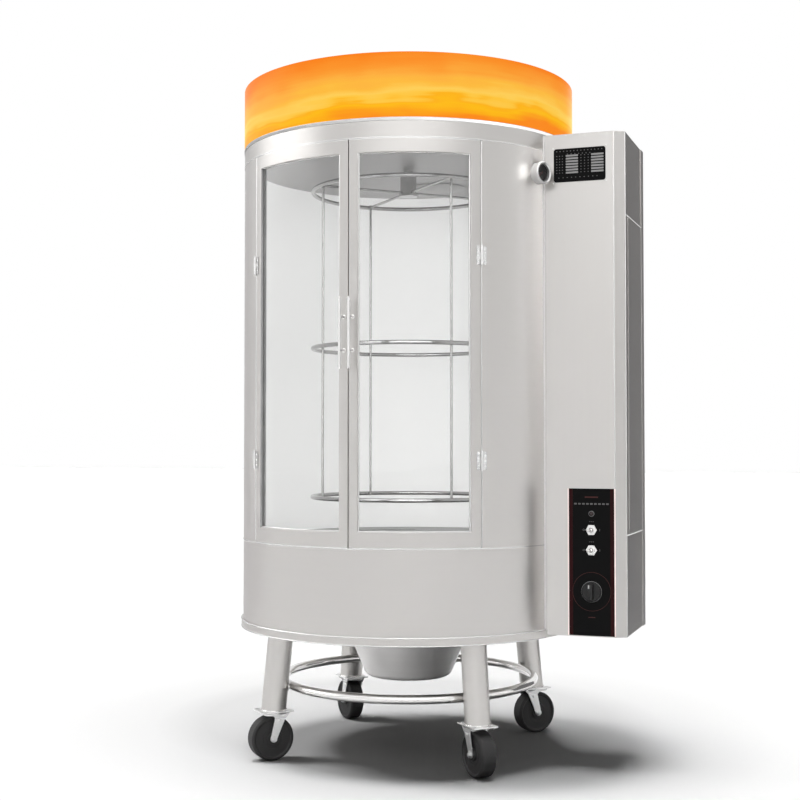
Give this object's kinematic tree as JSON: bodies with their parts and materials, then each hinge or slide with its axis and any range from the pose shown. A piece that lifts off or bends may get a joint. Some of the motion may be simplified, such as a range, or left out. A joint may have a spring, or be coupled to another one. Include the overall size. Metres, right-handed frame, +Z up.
{
  "type": "rotisserie oven",
  "caption": "Floor-standing drum rotisserie oven on casters with curved glass doors, a turning hanging rack, a lit amber top ring and a side control box.",
  "frame": {"origin": "the drum's axis at floor level", "axes": "+Z up along the drum's axis, -Y towards the doors, +X towards the control box"},
  "size_m": [0.9631, 0.8335, 1.627],
  "materials": {
    "stainless": "satin stainless sheet",
    "stainless_liner": "bright stainless sheet",
    "dark_panel": "satin stainless sheet in shade",
    "insulation": "mineral wool",
    "amber": "glossy translucent acrylic",
    "white_plastic": "white",
    "polished": "polished",
    "zinc": "bright zinc plate",
    "glass": "clear tempered glass",
    "black_gloss": "glossy black",
    "black_plastic": "satin black",
    "lamp_red": "clear dark lens",
    "needle_red": "red enamel",
    "brass": "machined",
    "iron": "as cast",
    "motor_grey": "grey paint",
    "tyre_black": "black rubber"
  },
  "bodies": {
    "oven": {"base_pan": "stainless", "lower_skirt": "stainless", "outer_wall": "stainless", "inner_liner": "stainless_liner", "insulation": "insulation", "door_jamb": "stainless", "chamber_floor": "stainless_liner", "ceiling_plate": "stainless_liner", "top_band": "stainless", "light_shell": "amber", "light_drum": "white_plastic", "lamp_strip": "white_plastic", "top_cover": "stainless", "flue_pipe": "stainless", "gear_motor": "motor_grey", "shaft_bearing": "zinc", "burner_ring": "iron", "gas_pipes": "brass", "legs": "stainless", "brace_ring": "polished", "caster_plates": "zinc", "box_shell": "stainless", "box_rear_cover": "stainless", "box_side_panel": "dark_panel", "control_fascia": "black_gloss", "info_plate": "black_gloss", "indicator_lamp": "lamp_red", "toggle_switches": "polished", "gas_valve": "brass", "gauge_case": "polished", "gauge_glass": "glass", "jamb_hinge_leaves": "zinc", "hinge_pins": "zinc", "cover_screws": "zinc", "cable_gland": "black_plastic"},
    "door_left": {"door_frame_left": "stainless", "door_glass_left": "glass", "door_handle_left": "polished", "door_leaves_left": "zinc"},
    "door_right": {"door_frame_right": "stainless", "door_glass_right": "glass", "door_handle_right": "polished", "door_leaves_right": "zinc"},
    "rack": {"drive_shaft": "polished", "rack_spider": "polished", "rack_rings": "polished", "rack_rods": "polished"},
    "knob": {"gas_knob": "black_plastic"},
    "lever_upper": {"switch_lever_upper": "polished"},
    "lever_lower": {"switch_lever_lower": "polished"},
    "needle": {"gauge_needle": "needle_red"},
    "bowl": {"drip_bowl": "polished"},
    "caster_front_left": {"fork_front_left": "zinc"},
    "wheel_front_left": {"wheel_front_left": "tyre_black"},
    "caster_front_right": {"fork_front_right": "zinc"},
    "wheel_front_right": {"wheel_front_right": "tyre_black"},
    "caster_rear_left": {"fork_rear_left": "zinc"},
    "wheel_rear_left": {"wheel_rear_left": "tyre_black"},
    "caster_rear_right": {"fork_rear_right": "zinc"},
    "wheel_rear_right": {"wheel_rear_right": "tyre_black"}
  },
  "joints": [
    {"name": "door_left_hinge", "type": "hinge", "parent": "oven", "child": "door_left", "pos_m": [-0.27326, -0.29716, 0.9195], "axis": [0, 0, -1], "range_deg": [0, 115]},
    {"name": "door_right_hinge", "type": "hinge", "parent": "oven", "child": "door_right", "pos_m": [0.27326, -0.29716, 0.9195], "axis": [0, 0, 1], "range_deg": [0, 115]},
    {"name": "rack_turn", "type": "hinge", "parent": "oven", "child": "rack", "pos_m": [0, 0, 1.37], "axis": [0, 0, 1], "continuous": true},
    {"name": "knob_turn", "type": "hinge", "parent": "oven", "child": "knob", "pos_m": [0.481, -0.155, 0.403], "axis": [0, 1, 0], "range_deg": [0, 270]},
    {"name": "lever_upper_flip", "type": "hinge", "parent": "oven", "child": "lever_upper", "pos_m": [0.481, -0.1475, 0.54], "axis": [0, 0, 1], "range_deg": [0, 26]},
    {"name": "lever_lower_flip", "type": "hinge", "parent": "oven", "child": "lever_lower", "pos_m": [0.481, -0.1475, 0.495], "axis": [0, 0, 1], "range_deg": [0, 26]},
    {"name": "needle_turn", "type": "hinge", "parent": "oven", "child": "needle", "pos_m": [0.37787, -0.18104, 1.339], "axis": [-0.9018, 0.4321, 0], "range_deg": [0, 270]},
    {"name": "bowl_lift", "type": "slide", "parent": "oven", "child": "bowl", "axis": [0, 0, 1], "range_m": [0, 0.36]},
    {"name": "swivel_front_left", "type": "hinge", "parent": "oven", "child": "caster_front_left", "pos_m": [-0.2372, -0.2372, 0.1143], "axis": [0, 0, 1], "continuous": true},
    {"name": "roll_front_left", "type": "hinge", "parent": "caster_front_left", "child": "wheel_front_left", "pos_m": [-0.25135, -0.25135, 0.051], "axis": [0.7071, -0.7071, 0], "continuous": true},
    {"name": "swivel_front_right", "type": "hinge", "parent": "oven", "child": "caster_front_right", "pos_m": [0.2372, -0.2372, 0.1143], "axis": [0, 0, 1], "continuous": true},
    {"name": "roll_front_right", "type": "hinge", "parent": "caster_front_right", "child": "wheel_front_right", "pos_m": [0.25135, -0.25135, 0.051], "axis": [0.7071, 0.7071, 0], "continuous": true},
    {"name": "swivel_rear_left", "type": "hinge", "parent": "oven", "child": "caster_rear_left", "pos_m": [-0.2372, 0.2372, 0.1143], "axis": [0, 0, 1], "continuous": true},
    {"name": "roll_rear_left", "type": "hinge", "parent": "caster_rear_left", "child": "wheel_rear_left", "pos_m": [-0.25135, 0.25135, 0.051], "axis": [-0.7071, -0.7071, 0], "continuous": true},
    {"name": "swivel_rear_right", "type": "hinge", "parent": "oven", "child": "caster_rear_right", "pos_m": [0.2372, 0.2372, 0.1143], "axis": [0, 0, 1], "continuous": true},
    {"name": "roll_rear_right", "type": "hinge", "parent": "caster_rear_right", "child": "wheel_rear_right", "pos_m": [0.25135, 0.25135, 0.051], "axis": [-0.7071, 0.7071, 0], "continuous": true}
  ]
}
